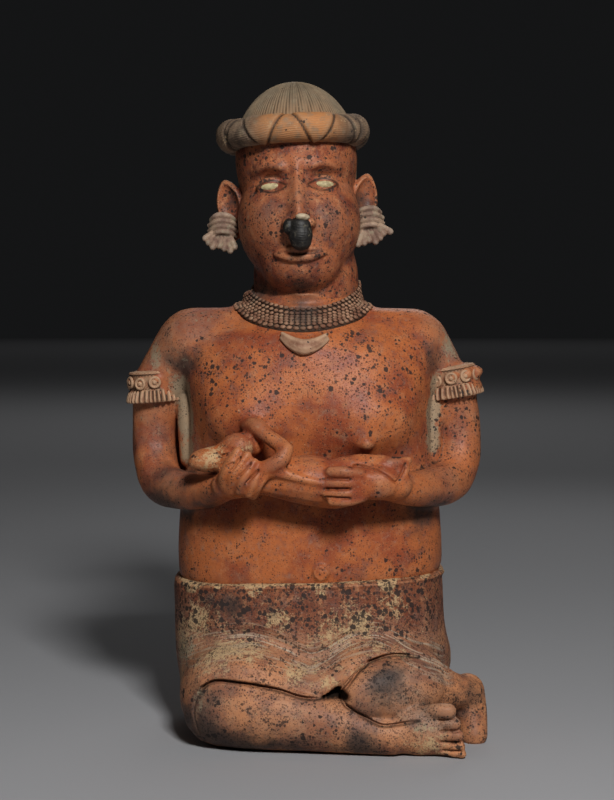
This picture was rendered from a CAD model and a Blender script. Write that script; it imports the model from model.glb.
# %% [markdown]
# A seated mother nursing her child, in the burnished red clay of a shaft tomb.
# The potter built her by hand from lumps and rolls, rubbed her with red slip, polished it with a
# pebble and fired her in the open. Centuries in the ground then added black spots, pale crust and
# dust. The lesson starts from the solid figure, gives each part its modelling, and then its finish.

# %% The frame, and the tools that this lesson uses
import math
import bmesh
import bpy
import numpy as np
from mathutils import Matrix, Vector
from mathutils.bvhtree import BVHTree


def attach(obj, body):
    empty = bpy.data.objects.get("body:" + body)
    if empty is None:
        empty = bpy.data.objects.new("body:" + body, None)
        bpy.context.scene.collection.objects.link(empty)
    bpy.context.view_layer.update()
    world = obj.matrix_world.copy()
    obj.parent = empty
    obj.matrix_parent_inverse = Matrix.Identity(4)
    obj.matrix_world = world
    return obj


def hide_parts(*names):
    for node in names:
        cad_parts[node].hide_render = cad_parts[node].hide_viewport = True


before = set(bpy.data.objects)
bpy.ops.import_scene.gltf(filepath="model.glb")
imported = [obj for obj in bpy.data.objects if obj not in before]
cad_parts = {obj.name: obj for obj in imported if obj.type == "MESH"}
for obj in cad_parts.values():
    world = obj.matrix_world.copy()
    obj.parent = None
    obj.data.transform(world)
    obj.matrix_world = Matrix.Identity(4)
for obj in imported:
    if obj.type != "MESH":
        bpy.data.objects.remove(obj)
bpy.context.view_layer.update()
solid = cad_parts["seated_figure"]
MM = 0.001

# %% [markdown]
# The camera stands a metre and a half in front of her, at the height of her arms, and looks a
# little down. It comes first, because every piece is judged from where it stands.

# %% Camera
CAMERA_PLACE = (0.0022, -1.5705, 0.380)
CAMERA_DIP = 0.0482  # radians below level
SENSOR_HEIGHT = 24  # mm
LENS = 51.2  # mm
bpy.ops.object.camera_add(location=CAMERA_PLACE, rotation=(math.pi / 2 - CAMERA_DIP, 0, 0))
camera = bpy.context.object
camera.data.sensor_fit = "VERTICAL"
camera.data.sensor_height = SENSOR_HEIGHT
camera.data.lens = LENS
bpy.context.scene.camera = camera
print("camera lens", camera.data.lens, "mm")

# %% [markdown]
# Places on her body are measured in millimetres from her middle plane, as a potter would: X to the
# right of somebody who looks at her, Y to her back and Z up. `spot` turns such a place into metres.

# %% Measuring
BODY_ORIGIN = Vector((5, 29.5, 0))  # from the middle of the base to her middle plane


def spot(x, y, z):
    return (Vector((x, y, z)) + BODY_ORIGIN) * MM


def only(*objects):
    bpy.ops.object.select_all(action="DESELECT")
    for each in objects:
        each.select_set(True)
    bpy.context.view_layer.objects.active = objects[0]


def report(piece):
    piece.data.calc_loop_triangles()
    print(piece.name, len(piece.data.loop_triangles), "triangles")


# %% [markdown]
# Clay comes as balls and rolls. A ball is a sphere primitive, pressed to its three radii. A roll
# follows a smooth line through a few places, each with its own thickness, and has round ends.

# %% Balls and rolls of clay
FINE = 48  # segments round a ball
CAP_TURNS = (25, 50, 70, 88)  # degrees up the half ball at the end of a roll
CAP_LEAST = 0.03  # its last ring, as a share of the radius


def ball(centre, radii, turn=(0, 0, 0), origin=BODY_ORIGIN, fine=FINE):
    bpy.ops.object.select_all(action="DESELECT")
    bpy.ops.mesh.primitive_uv_sphere_add(
        segments=fine,
        ring_count=fine // 2,
        radius=1,
        location=(Vector(centre) + origin) * MM,
        rotation=[math.radians(angle) for angle in turn],
        scale=[radius * MM for radius in radii],
    )
    return bpy.context.object


def smooth_line(knots, steps=6, closed=False):
    """Points on a Catmull-Rom line through the knots, whatever each knot holds."""
    knots = np.array(knots, float)
    count = len(knots)
    spans = count if closed else count - 1
    line = []
    for span in range(spans):
        ends = [span - 1, span, span + 1, span + 2]
        a, b, c, d = (knots[i % count if closed else min(max(i, 0), count - 1)] for i in ends)
        for step in range(steps):
            t = step / steps
            line.append(0.5 * (2 * b + (c - a) * t + (2 * a - 5 * b + 4 * c - d) * t**2
                               + (3 * b - a - 3 * c + d) * t**3))
    if not closed:
        line.append(knots[-1])
    return np.array(line)


def with_round_ends(line):
    """Adds a half ball at each end of a line of [x, y, z, radius]."""
    capped = line
    for end, inner in ((0, 1), (-1, -2)):
        tip = line[end]
        away = tip[:3] - line[inner][:3]
        away = away / np.linalg.norm(away)
        cap = [np.append(tip[:3] + away * tip[3] * math.sin(a), tip[3] * max(math.cos(a), CAP_LEAST))
               for a in np.radians(CAP_TURNS)]
        capped = np.vstack([cap[::-1], capped]) if end == 0 else np.vstack([capped, cap])
    return capped


def roll(knots, origin=BODY_ORIGIN, sides=6, closed=False, steps=6):
    line = smooth_line(knots, steps, closed)
    if not closed:
        line = with_round_ends(line)
    bpy.ops.object.select_all(action="DESELECT")
    bpy.ops.curve.primitive_bezier_curve_add()
    curve = bpy.context.object.data
    curve.splines.clear()
    strand = curve.splines.new("POLY")
    strand.use_cyclic_u = closed
    strand.points.add(len(line) - 1)
    for point, (x, y, z, radius) in zip(strand.points, line):
        point.co = (*((Vector((x, y, z)) + origin) * MM), 1)
        point.radius = radius * MM
    curve.bevel_depth = 1
    curve.bevel_resolution = sides
    curve.use_fill_caps = not closed
    curve.twist_mode = "MINIMUM"
    bpy.context.object.matrix_world = Matrix.Identity(4)
    bpy.ops.object.convert(target="MESH")
    return bpy.context.object


# %% [markdown]
# Lumps become one skin when they are joined and remeshed, as wet clay is when the joints are
# worked over with a finger. A few rounds of smoothing then take the voxel steps away. A skin can
# also be read as places in millimetres, moved and written back.

# %% Working lumps together
def shape_with(piece, kind, **settings):
    only(piece)
    modifier = piece.modifiers.new(kind.lower(), kind)
    for name, value in settings.items():
        setattr(modifier, name, value)
    bpy.ops.object.modifier_apply(modifier=modifier.name)


def thin_out(piece, most):
    """Takes triangles away where the skin is flattest, down to the given number."""
    shape_with(piece, "DECIMATE", ratio=min(1, most / (2 * len(piece.data.polygons))))


def work_together(lumps, voxel, rounds=4):
    only(*lumps)
    bpy.ops.object.transform_apply(location=True, rotation=True, scale=True)
    if len(lumps) > 1:
        bpy.ops.object.join()
    piece = bpy.context.object
    shape_with(piece, "REMESH", mode="VOXEL", voxel_size=voxel * MM, adaptivity=0)
    shape_with(piece, "SMOOTH", factor=0.5, iterations=rounds)
    return piece


def edit(piece, *steps):
    """Runs each step with the whole mesh selected in edit mode."""
    only(piece)
    bpy.ops.object.mode_set(mode="EDIT")
    for step in steps:
        bpy.ops.mesh.select_all(action="SELECT")
        step()
    bpy.ops.object.mode_set(mode="OBJECT")


def cut_away(piece, place, facing):
    """Takes off what lies on the side that the cut faces, and closes the cut."""
    edit(piece, lambda: bpy.ops.mesh.bisect(
        plane_co=place, plane_no=facing, use_fill=True, clear_outer=True))


def skin_of(piece):
    count = len(piece.data.vertices)
    places = np.empty(count * 3, np.float32)
    normals = np.empty(count * 3, np.float32)
    piece.data.vertices.foreach_get("co", places)
    piece.data.vertices.foreach_get("normal", normals)
    return places.reshape(-1, 3) / MM, normals.reshape(-1, 3)


def reshape(piece, places):
    piece.data.vertices.foreach_set("co", (places * MM).astype(np.float32).ravel())
    piece.data.update()


# %% [markdown]
# The solid carries the outline and the main forms in facets a finger wide. Its copy is rounded by
# subdivision. The waist ledge is a real joint, where the skirt goes round the body, so torso and
# skirt are two meshes that meet there, and each can have finer clay. The cloth's edge slopes more
# than the solid's ledge does, so the skirt is widened up to a sloping cut.

# %% Copies of the solid
VOXEL = 1.45
SOLID_LEDGE = spot(1.5, 0, 139.6)
SOLID_UP = Vector((-0.0244, 0, 1)).normalized()
LEDGE_STEP = (3.2, 4.6)  # how far the cloth stands out at the sides and in front
WAIST_RADII = (125, 88)
TORSO_LIFT = 1.6  # how far the torso's lower cut lies above the skirt's upper one
LEDGE_PLACE = spot(0, 0, 146.5)
LEDGE_UP = Vector((-0.037, -0.03, 1)).normalized()
NECK_CUT = spot(0, 0, 404)


def copy_of_solid(name):
    piece = bpy.data.objects.new(name, solid.data.copy())
    bpy.context.scene.collection.objects.link(piece)
    edit(piece, lambda: bpy.ops.mesh.remove_doubles(threshold=0.00005))
    return piece


def rounded(piece):
    shape_with(piece, "SUBSURF", levels=2, render_levels=2)
    shape_with(piece, "SMOOTH", factor=0.5, iterations=12)
    return piece


def widen_to_ledge(piece):
    """Moves the wall between the solid's ledge and the sloping cut out to the cloth."""
    places = np.array([vertex.co for vertex in piece.data.vertices]) / MM
    height = (places - np.array(SOLID_LEDGE) / MM) @ np.array(SOLID_UP)
    out = (places[:, :2] - np.array(BODY_ORIGIN)[:2]) / np.array(WAIST_RADII)
    out = out / np.linalg.norm(out, axis=1, keepdims=True).clip(0.01)
    above = np.clip((height + 1) / 1.5, 0, 1)  # from a millimetre below the solid's ledge
    places[:, :2] += out * np.array(LEDGE_STEP) * above[:, None]
    reshape(piece, places)


torso_clay = copy_of_solid("torso_clay")
cut_away(torso_clay, LEDGE_PLACE + LEDGE_UP * TORSO_LIFT * MM, -LEDGE_UP)
cut_away(torso_clay, NECK_CUT, (0, 0, 1))
skirt_clay = copy_of_solid("skirt_clay")
cut_away(skirt_clay, LEDGE_PLACE, LEDGE_UP)
print("copies", len(torso_clay.data.polygons), len(skirt_clay.data.polygons), "faces")

# %% [markdown]
# Lines are drawn in the skin with a blunt stick. In code, every vertex near the line is pushed
# along its normal, most at the middle of the line. The same move the other way raises a ridge.

# %% Drawing in the skin
def keep(piece, name, values):
    """Keeps one number for each point of the mesh, for the materials to read."""
    layer = piece.data.attributes.get(name) or piece.data.attributes.new(name, "FLOAT", "POINT")
    layer.data.foreach_set("value", np.ascontiguousarray(values, np.float32))


def kept_on(piece, name):
    values = np.empty(len(piece.data.vertices), np.float32)
    piece.data.attributes[name].data.foreach_get("value", values)
    return values


def rise(values, low, high):
    """0 below low, 1 above high, and smooth between."""
    share = np.clip((values - low) / (high - low), 0, 1)
    return share * share * (3 - 2 * share)


def from_line(places, line):
    """Each place's distance in mm from a line of points, and how far along the line it lies, 0 to 1."""
    nearest = np.full(len(places), 1e9)
    share = np.zeros(len(places))
    for index, (a, b) in enumerate(zip(line[:-1], line[1:])):
        span = b - a
        along = np.clip((places - a) @ span / (span @ span), 0, 1)
        away = np.linalg.norm(places - a - along[:, None] * span, axis=1)
        closer = away < nearest
        nearest[closer] = away[closer]
        share[closer] = (index + along[closer]) / (len(line) - 1)
    return nearest, share


def draw(piece, line, width, depth, fade=0.12, way=None):
    """A groove of that half width and depth in mm along the line. A negative depth is a ridge.

    It goes in along the normals, or straight along the given way.
    """
    places, normals = skin_of(piece)
    near = np.flatnonzero(np.all((places > line.min(0) - 4 * width)
                                 & (places < line.max(0) + 4 * width), axis=1))
    away, share = from_line(places[near], line)
    taper = np.clip(np.minimum(share, 1 - share) / fade, 0, 1) if fade else 1
    push = depth * np.exp(-((away / width) ** 2)) * taper
    places[near] += push[:, None] * (np.array(way) if way else -normals[near])
    reshape(piece, places)


def darken_along(piece, lines, width):
    """Keeps how close each point lies to the lines, so that the material can be dark in them."""
    places, _ = skin_of(piece)
    inside = [np.exp(-((from_line(places, line)[0] / width) ** 2)) for line in lines]
    keep(piece, "slit", np.max(inside, axis=0))


def finer(piece, lines, reach):
    """Halves the faces within reach of the lines, so that narrow grooves have faces to live in."""
    places, _ = skin_of(piece)
    ends = np.empty(len(piece.data.edges) * 2, np.int32)
    piece.data.edges.foreach_get("vertices", ends)
    middles = places[ends.reshape(-1, 2)].mean(axis=1)
    close = set()
    for line in lines:
        box = np.flatnonzero(np.all((middles > line.min(0) - reach)
                                    & (middles < line.max(0) + reach), axis=1))
        away, _ = from_line(middles[box], line)
        close.update(box[away < reach].tolist())
    mesh = bmesh.new()
    mesh.from_mesh(piece.data)
    mesh.edges.ensure_lookup_table()
    bmesh.ops.subdivide_edges(
        mesh, edges=[mesh.edges[i] for i in sorted(close)], cuts=1, use_grid_fill=True)
    bmesh.ops.triangulate(mesh, faces=[face for face in mesh.faces if len(face.verts) > 4])
    mesh.to_mesh(piece.data)
    mesh.free()


def sight(piece):
    depsgraph = bpy.context.evaluated_depsgraph_get()
    return BVHTree.FromObject(piece, depsgraph)


IN_FRONT = -400  # where a line of sight starts


def on_front(tree, places, steps=6, origin=BODY_ORIGIN):
    """A smooth line through places [x, z] of the front, laid on the skin, in the piece's own mm."""
    line = []
    for x, z in smooth_line(places, steps):
        start = (Vector((x, IN_FRONT, z)) + origin) * MM
        hit = tree.ray_cast(start, Vector((0, 1, 0)))[0]
        if hit:
            line.append(np.array(hit) / MM)
    return np.array(line)


# %% [markdown]
# Torso: the copy already has chest, breasts and arms. The hands are laid over the child, so both
# are modelled here as one. Each finger is a roll with three knots, as on the real hands, which
# have no joints either.

# %% Her hands
def her_right_hand():
    palm = [ball((-63, -116, 237), (19, 12, 14)), ball((-72, -108, 233), (15, 13, 13))]
    fingers = [
        [(-75, -120, 238, 5.0), (-72.5, -127, 249, 4.8), (-63, -126, 264.5, 4.2)],
        [(-69, -124, 235, 5.0), (-65, -131, 246, 4.9), (-54.5, -128, 261, 4.3)],
        [(-61, -127, 231, 5.0), (-57, -133, 242, 4.8), (-48.5, -129, 255, 4.2)],
        [(-53, -127, 228, 4.6), (-49, -132, 238, 4.6), (-41, -128, 250, 4.0)],
    ]
    return palm + [roll(finger) for finger in fingers]


def her_left_hand():
    palm = [ball((58, -117, 236), (21, 12, 15)), ball((72, -110, 234), (18, 12, 14))]
    rows = [(246.5, 12, 5.6), (237, 9, 5.2), (228, 9, 4.7), (220.5, 14, 4.0)]  # height, tip, radius
    knuckles = 235  # their middle height
    fingers = [
        [(46, -122, knuckles + 0.75 * (z - knuckles), r + 0.4), (32, -129, z, r),
         (tip + r, -127, z, r * 0.85)]
        for z, tip, r in rows
    ]
    return palm + [roll(finger) for finger in fingers]


# %% The child
def child():
    trunk = roll([(-42, -110, 239, 14), (-6, -108, 238, 22), (20, -106, 234, 21), (34, -102, 231, 17)])
    head = [
        ball((-86, -102, 255), (22, 14, 10.5), (0, -8, 0)),
        ball((-70, -105, 259), (14, 13, 11.5)),
        ball((-63, -117, 262), (3.4, 4, 4.5)),
        ball((-54, -98, 268), (13, 11, 11)),
    ]
    upper_arm = roll([(-54, -92, 284, 8), (-46, -104, 283, 8.5), (-38, -112, 277, 6.6),
                      (-22, -124, 266.5, 6.6)])
    lower_arm = roll([(-21, -125, 265.5, 6.8), (-27, -129, 256, 7.4), (-44, -127, 247, 7)])
    legs = [
        roll([(18, -110, 243, 13), (32, -110, 247, 12.5), (48, -108, 251.5, 9), (64, -108, 252, 8)]),
        roll([(60, -110, 249, 9), (72, -110, 251, 8), (86, -108, 255, 3.6)]),
        roll([(60, -112, 247, 8), (70, -116, 243, 6.5), (80, -117, 237, 3.4)]),
        roll([(84, -107, 254, 3.4), (83, -112, 246, 4), (80, -116, 238, 3.4)]),
    ]
    return [trunk, *head, upper_arm, lower_arm, *legs]


# %% Torso, hands and child in one skin
WALL_SUNK = 20  # how far the torso's wall goes down behind the skirt's edge
NAVEL = spot(9.6, -200, 152.4)  # straight in front of it


def arm_creases():
    """The clay that closes the crease between each arm and the chest."""
    return [roll([(side * 113, -8, 350, 7), (side * 114, -14, 300, 10), (side * 111, -20, 250, 10)])
            for side in (-1, 1)]


def nipple_and_navel(tree):
    centre = Vector(tree.ray_cast(NAVEL, Vector((0, 1, 0)))[0]) / MM
    bpy.ops.mesh.primitive_torus_add(
        location=centre * MM, rotation=(math.pi / 2, 0, 0),
        major_radius=5.6 * MM, minor_radius=1.6 * MM, major_segments=32, minor_segments=10)
    ring = bpy.context.object
    pellet = ball(centre, (3.3, 2.4, 3.3), origin=Vector())
    return [ring, pellet, ball((50, -86, 268), (7.5, 8.5, 6.5))]


def model_torso():
    """Draws the torso's lower rim down into the skirt, and works everything on it into one skin."""
    wall = torso_clay
    low = min(vertex.co.z for vertex in wall.data.vertices)
    edit(wall, lambda: bpy.ops.mesh.select_all(action="DESELECT"))
    for face in wall.data.polygons:
        face.select = face.normal.z < -0.9 and face.center.z < low + 8 * MM
    only(wall)
    bpy.ops.object.mode_set(mode="EDIT")
    bpy.ops.mesh.extrude_region_move(TRANSFORM_OT_translate={"value": (0, 0, -WALL_SUNK * MM)})
    bpy.ops.object.mode_set(mode="OBJECT")
    small = nipple_and_navel(sight(wall))
    lumps = [rounded(wall), *her_right_hand(), *her_left_hand(), *child(), *small, *arm_creases()]
    piece = work_together(lumps, VOXEL)
    piece.name = "torso_with_child"
    return piece


FINGER_GAPS = [[(-69, 247), (-60, 260)], [(-62.5, 242), (-51, 255)], [(-56, 236.5), (-44.5, 249)],
               [(12, 241), (35, 241)], [(12, 232), (35, 232.3)], [(12.5, 225), (35, 224)]]
CHILD_FACE = [[(-79, 259), (-72, 261.5)], [(-72, 252.5), (-66, 255)]]  # closed eye and mouth
CHILD_FOOT = [[(34, 251), (44, 251.5), (56, 249), (66, 243.5), (74, 237.5), (79, 243), (83, 253)]]


def part_fingers(piece):
    tree = sight(piece)
    gaps = [on_front(tree, gap) for gap in FINGER_GAPS + CHILD_FACE + CHILD_FOOT]
    finer(piece, gaps, reach=3)
    for gap in gaps:
        draw(piece, gap, width=1.0, depth=2.4)
    darken_along(piece, gaps, width=1.1)


torso = model_torso()
thin_out(torso, most=185000)
part_fingers(torso)
report(torso)

# %% [markdown]
# Skirt and legs: she sits with folded legs in a wrap skirt that is drawn tight over the knees. One
# shin lies along the front, and the other calf comes out of the skirt over it, so that its foot
# turns down on the far side. Each toe is a small roll. Where thigh, calf and shin meet, a hole
# goes in behind the calf.

# %% Legs and feet
def legs():
    return [
        roll([(-80, -97, 33, 33), (-50, -109, 33, 33), (-4, -117, 28, 28), (40, -126, 21, 21),
              (70, -132, 16.5, 16.5)], sides=12),
        ball((95, -133, 22), (26, 14, 22)),
        ball((73, -119, 53.5), (50, 22, 27.5), turn=(0, 0, 22), fine=96),
        roll([(100, -99, 52, 20), (124, -84, 46, 17), (141, -72, 41, 15.5)], sides=12),
        roll([(143, -64, 42, 15.5), (145, -74, 22, 15), (147, -84, 7, 12.5)], sides=12),
        ball((-4, -90, 42), (54, 39.5, 35)),
    ]


def toes():
    rows = [(126, 41.5, 6.9), (130.5, 30.4, 5.3), (133, 20.2, 5.5), (134, 10.6, 4.5), (135, 3.9, 3.8)]
    made = []
    for tip, height, radius in rows:
        made.append(roll([(103, -135, 22 + 0.8 * (height - 22), radius + 0.6),
                          (tip - 2.4 * radius, -143, height, radius * 0.92),
                          (tip - radius, -144.5, height, radius)]))
    return made


# %% Slits and folds of the lap
LAP_SLIT = [(-96, 54), (-92, 58.5), (-82, 63.5), (-64.6, 63), (-45.5, 60.4), (-26.3, 56), (-7.2, 50.6),
            (10, 49.4)]
CALF_SLIT = [(27, 53), (28.6, 58), (36, 67), (44.3, 74.6), (61.7, 81.5), (79, 83), (96, 80)]
UNDER_CALF = [(10, 50), (22, 50), (28.5, 47.5), (40.7, 39.2), (56.4, 30.5), (69.5, 28.6), (94, 33)]
TOE_GAPS = [[(109, 33), (126, 35)], [(111, 23.5), (130, 25.2)], [(111, 14), (131, 15)],
            [(113, 6.5), (131, 7)]]
GAP_AT_KNEE = [(12, 49.5, 1.6), (16, 50, 2.4), (20, 51, 3.4), (24, 52, 4.4), (28, 52.5, 4.8)]  # x, z, width
HEM = [(-93.3, 58), (-99, 48), (-102, 38), (-101, 27), (-97, 15), (-93, 5)]
CREST = [(-118, 70), (-100, 81), (-85.2, 87), (-56, 91.2), (-31.2, 86), (-7.2, 76), (2.5, 73.5),
         (15.8, 78.5), (35.3, 89.5), (54.8, 94), (70.7, 90.5), (86.7, 82.5), (109.8, 72.5), (122, 64)]
SLITS = [(LAP_SLIT, 1.5, 5.5), (CALF_SLIT, 1.5, 5.0), (UNDER_CALF, 1.4, 4.0)]  # line, width, depth
FOLDS = [(4.5, 0.5), (8.5, 0.45), (12.5, 0.3), (-3.5, 0.4)]  # height above the crest, depth
KNEE_DEPTH = 14
THIGH_SWELL = 5.0
CLOTH_SUNK = 2.5


def shape_lap(piece):
    """Swells the thighs between the crest and the slits, and sinks the cloth above the crest."""
    places, _ = skin_of(piece)
    x, y, z = (places - np.array(BODY_ORIGIN)).T
    crest, slit = (smooth_line(knots, 6) for knots in (CREST, LAP_SLIT + CALF_SLIT[1:]))
    top = np.interp(x, crest[:, 0], crest[:, 1])
    low = np.interp(x, slit[:, 0], slit[:, 1])
    deep = np.maximum(top - low, 1)
    front = rise(-y, 60, 80) * (1 - rise(np.abs(x + 4), 92, 112)) * rise(deep, 6, 14)
    swell = THIGH_SWELL * np.sin(np.pi * np.clip((top - z) / deep, 0, 1)) ** 0.8
    sunk = CLOTH_SUNK * np.exp(-(((z - top - 7) / 5.5) ** 2))
    places[:, 1] += (sunk - swell) * front
    reshape(piece, places)


def sink(piece, tree, hole, depth):
    """Pushes a hole into the front at places [x, z, width], wider where the width is larger."""
    places, _ = skin_of(piece)
    near = np.zeros(len(places))
    for x, z, width in hole:
        middle = on_front(tree, [(x, z)] * 2, steps=1)[0]
        away = np.hypot(places[:, 0] - middle[0], places[:, 2] - middle[2])
        in_front = np.abs(places[:, 1] - middle[1]) < 16
        near = np.maximum(near, np.exp(-((away / width) ** 4)) * in_front)
    places[:, 1] += depth * near
    reshape(piece, places)
    return near


def model_skirt():
    rounded(skirt_clay)
    widen_to_ledge(skirt_clay)
    piece = work_together([skirt_clay, *legs(), *toes()], VOXEL)
    piece.name = "skirt_and_legs"
    shape_lap(piece)
    tree = sight(piece)
    slits = [(on_front(tree, knots), width, depth) for knots, width, depth in SLITS]
    gaps = [on_front(tree, knots) for knots in TOE_GAPS]
    hem, crest = on_front(tree, HEM), on_front(tree, CREST)
    knee = on_front(tree, [(x, z) for x, z, _ in GAP_AT_KNEE])
    finer(piece, [line for line, _, _ in slits] + gaps + [hem, knee], reach=4)
    for line, _, _ in slits[:2]:
        draw(piece, line + (0, 0, 3), width=2.6, depth=-1.2)
    for line, width, depth in slits:
        draw(piece, line, width, depth, way=(0, 1, 0))
    hole = sink(piece, tree, GAP_AT_KNEE, KNEE_DEPTH)
    for gap in gaps:
        draw(piece, gap, width=1.1, depth=2.4)
    draw(piece, hem, width=1.1, depth=0.9)
    for lift, depth in FOLDS:
        draw(piece, crest + (0, 0, lift), 1.7, depth)
    shape_with(piece, "SMOOTH", factor=0.4, iterations=1)
    darken_along(piece, [line for line, _, _ in slits], width=1.7)
    keep(piece, "slit", np.maximum(kept_on(piece, "slit"), rise(hole, 0.1, 0.6)))
    return piece


skirt = model_skirt()
cut_away(skirt, (0, 0, 0), (0, 0, -1))
thin_out(skirt, most=195000)
report(skirt)

# %% [markdown]
# Head: four balls and a thick roll, worked together, make the egg of the head and the neck. It is
# modelled upright round its own origin, midway between chin and crown, and set on the neck at the
# end, where it leans a little to one side.

# %% Head
AT_ORIGIN = Vector((0, 0, 0))
HEAD_PLACE = (-11.5, 0, 499)
HEAD_LEAN = math.radians(-2.6)
HEAD_VOXEL = 1.15


def head_ball(centre, radii, turn=(0, 0, 0), fine=FINE):
    return ball(centre, radii, turn, AT_ORIGIN, fine)


def head_roll(knots, sides=6, steps=6):
    return roll(knots, AT_ORIGIN, sides, steps=steps)


def set_on_neck(piece):
    only(piece)
    bpy.ops.object.transform_apply(location=True, rotation=True, scale=True)
    piece.location = spot(*HEAD_PLACE)
    piece.rotation_euler = (0, HEAD_LEAN, 0)
    bpy.ops.object.transform_apply(location=True, rotation=True, scale=True)
    return piece


def head_masses():
    masses = [
        head_ball((0, 6, 29), (57, 64, 70), fine=96),
        head_ball((0, -10, -30), (57, 62, 60), fine=96),
        head_ball((0, -30, -66), (38, 37, 33), fine=64),
        head_ball((0, 16, -8), (53, 60, 66), fine=96),
        head_roll([(-1, 8, -150, 50), (3, 8, -126, 50), (4, 8, -74, 49)], sides=20),
    ]
    return work_together(masses, voxel=2.4, rounds=14)


head = head_masses()
report(head)

# %% [markdown]
# The face is a plain, calm one of the usual proportions: the eyes halfway up the head, the base of
# the nose and the mouth at the thirds below. It portrays nobody. Sockets are pressed in with the
# thumb, then brows, lids, nose and lips are laid on as small rolls and worked in.

# %% Face
EYE_OUT = 23
EYE_HEIGHT = 0
NOSE_TOP = 14
NOSE_BASE = -41
MOUTH_HEIGHT = -61
MOUTH_HALF = 22
LIPS = [(3.6, 4.0, -1.0), (-4.4, 4.8, 0.6)]  # height, thickness, rise in the middle
BROW = [(7, 12), (16, 18), (28, 19.5), (42, 12)]
EYEBALL = (14.5, 10, 9)
EYE_DEEP = 6.5  # how far the middle of the eyeball lies behind the skin
EYE_HALF = 13.5
LIDS = [(6.8, 2.1), (-6.2, 1.8)]  # lift over the middle of the eye, thickness


def draw_out_nose(piece):
    """Draws the nose out of the face, narrow between the eyes and full at its base."""
    places, _ = skin_of(piece)
    x, y, z = places.T
    down = np.clip((NOSE_TOP - z) / (NOSE_TOP - NOSE_BASE), 0, 1)
    shown = rise(z, NOSE_BASE - 4, NOSE_BASE + 3) * (1 - rise(z, NOSE_TOP - 2, NOSE_TOP + 12))
    push = (5 + 13 * down**1.3) * shown * np.exp(-((x / (5.5 + 4.5 * down)) ** 2))
    places[:, 1] -= push * (y < 0)
    reshape(piece, places)


def press(piece, x, z, width, height, depth):
    """Pushes the front of the face back round a place, as a thumb does."""
    places, _ = skin_of(piece)
    share = np.exp(-(((places[:, 0] - x) / width) ** 2) - ((places[:, 2] - z) / height) ** 2)
    places[:, 1] += depth * share * (places[:, 1] < 0)
    reshape(piece, places)


def face_line(tree, knots, proud):
    """Knots [x, z, radius] laid on the face, with their middles so far proud of it."""
    laid = on_front(tree, [knot[:2] for knot in knots], steps=1, origin=AT_ORIGIN)
    return [(x, y - proud, z, knot[2]) for (x, y, z), knot in zip(laid, knots)]


def lid_arc(x, y, lift, thick):
    """A thin roll over the eyeball, from one corner to the other."""
    arc = []
    wide, deep, high = EYEBALL
    for turn in np.radians([-90, -60, -30, 0, 30, 60, 90]):
        across = EYE_HALF * math.sin(turn)
        up = lift * math.cos(turn)
        forward = deep * math.sqrt(max(1 - (across / wide) ** 2 - (up / high) ** 2, 0.05))
        arc.append((x + across, y - forward, EYE_HEIGHT + up, thick * (0.45 + 0.55 * math.cos(turn))))
    return head_roll(arc, steps=4)


def model_face(piece):
    for side in (-1, 1):
        press(piece, side * EYE_OUT, EYE_HEIGHT + 2, width=16, height=12, depth=6.5)
        press(piece, side * 27, -36, width=14, height=16, depth=-1.5)
    press(piece, 0, -80, width=15, height=9, depth=-2)
    press(piece, 0, MOUTH_HEIGHT, width=24, height=13, depth=-2.5)
    tree = sight(piece)
    for side in (-1, 1):
        brow = [(side * x, z) for x, z in BROW]
        draw(piece, on_front(tree, brow, origin=AT_ORIGIN), width=4.5, depth=-4.5, fade=0.25)
    draw_out_nose(piece)
    tree = sight(piece)
    parts = [piece]
    eyes = []
    for side in (-1, 1):
        (x, y, z), = on_front(tree, [(side * EYE_OUT, EYE_HEIGHT)] * 2, 1, AT_ORIGIN)[:1]
        middle = y + EYE_DEEP
        eyes.append((side * EYE_OUT, middle))
        parts.append(head_ball((x, middle, z), EYEBALL))
        for lift, thick in LIDS:
            parts.append(lid_arc(x, middle, lift, thick))
        wing = face_line(tree, [(side * 9.5, NOSE_BASE + 6, 1)] * 2, proud=-2)[0]
        parts.append(head_ball(wing[:3], (6, 8, 5.6)))
    for height, thick, bow in LIPS:
        lip = []
        for x in (-MOUTH_HALF, -15, -7, 0, 7, 15, MOUTH_HALF):
            level = MOUTH_HEIGHT + height * math.cos(x / MOUTH_HALF * 1.45) + (bow if x == 0 else 0)
            lip.append((x, level, thick * (0.35 + 0.65 * math.cos(x / MOUTH_HALF * 1.3))))
        parts.append(head_roll(face_line(tree, lip, proud=1.2)))
    return parts, eyes


head_parts, eye_places = model_face(head)
print(len(head_parts), "lumps make the face, eyes at", eye_places[0])

# %% [markdown]
# Each ear is a long leaf of clay, hollowed with the thumb. A boolean cut by a smaller ball leaves
# the rim standing.

# %% Ears
EAR_LEAF = (15, 8.5, 25.5)
EAR_HOLLOW = (11.3, 9.5, 21)


def ear_turn(side):
    place = Matrix.Translation(Vector((side * 61.5 - 1, 6, -12)) * MM)
    return place @ Matrix.Rotation(math.radians(side * 6), 4, "Y") @ Matrix.Rotation(
        math.radians(side * 24), 4, "Z")


def ear(side):
    leaf = head_ball((0, 0, 0), EAR_LEAF, fine=64)
    hollow = head_ball((side * 0.5, -8.5, 2.5), EAR_HOLLOW, fine=64)
    for lump in (leaf, hollow):
        only(lump)
        bpy.ops.object.transform_apply(location=True, rotation=True, scale=True)
        places, _ = skin_of(lump)
        above = np.clip(places[:, 2] / EAR_LEAF[2], 0, 1) ** 2
        places[:, 0] = places[:, 0] * (1 - 0.3 * above) + side * 3 * above
        reshape(lump, places)
    shape_with(leaf, "BOOLEAN", operation="DIFFERENCE", object=hollow, solver="EXACT")
    bpy.data.objects.remove(hollow)
    only(leaf)
    leaf.matrix_world = ear_turn(side)
    lobe = head_ball((side * 63, 2, -36), (9, 7, 9))
    return [leaf, lobe]


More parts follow.
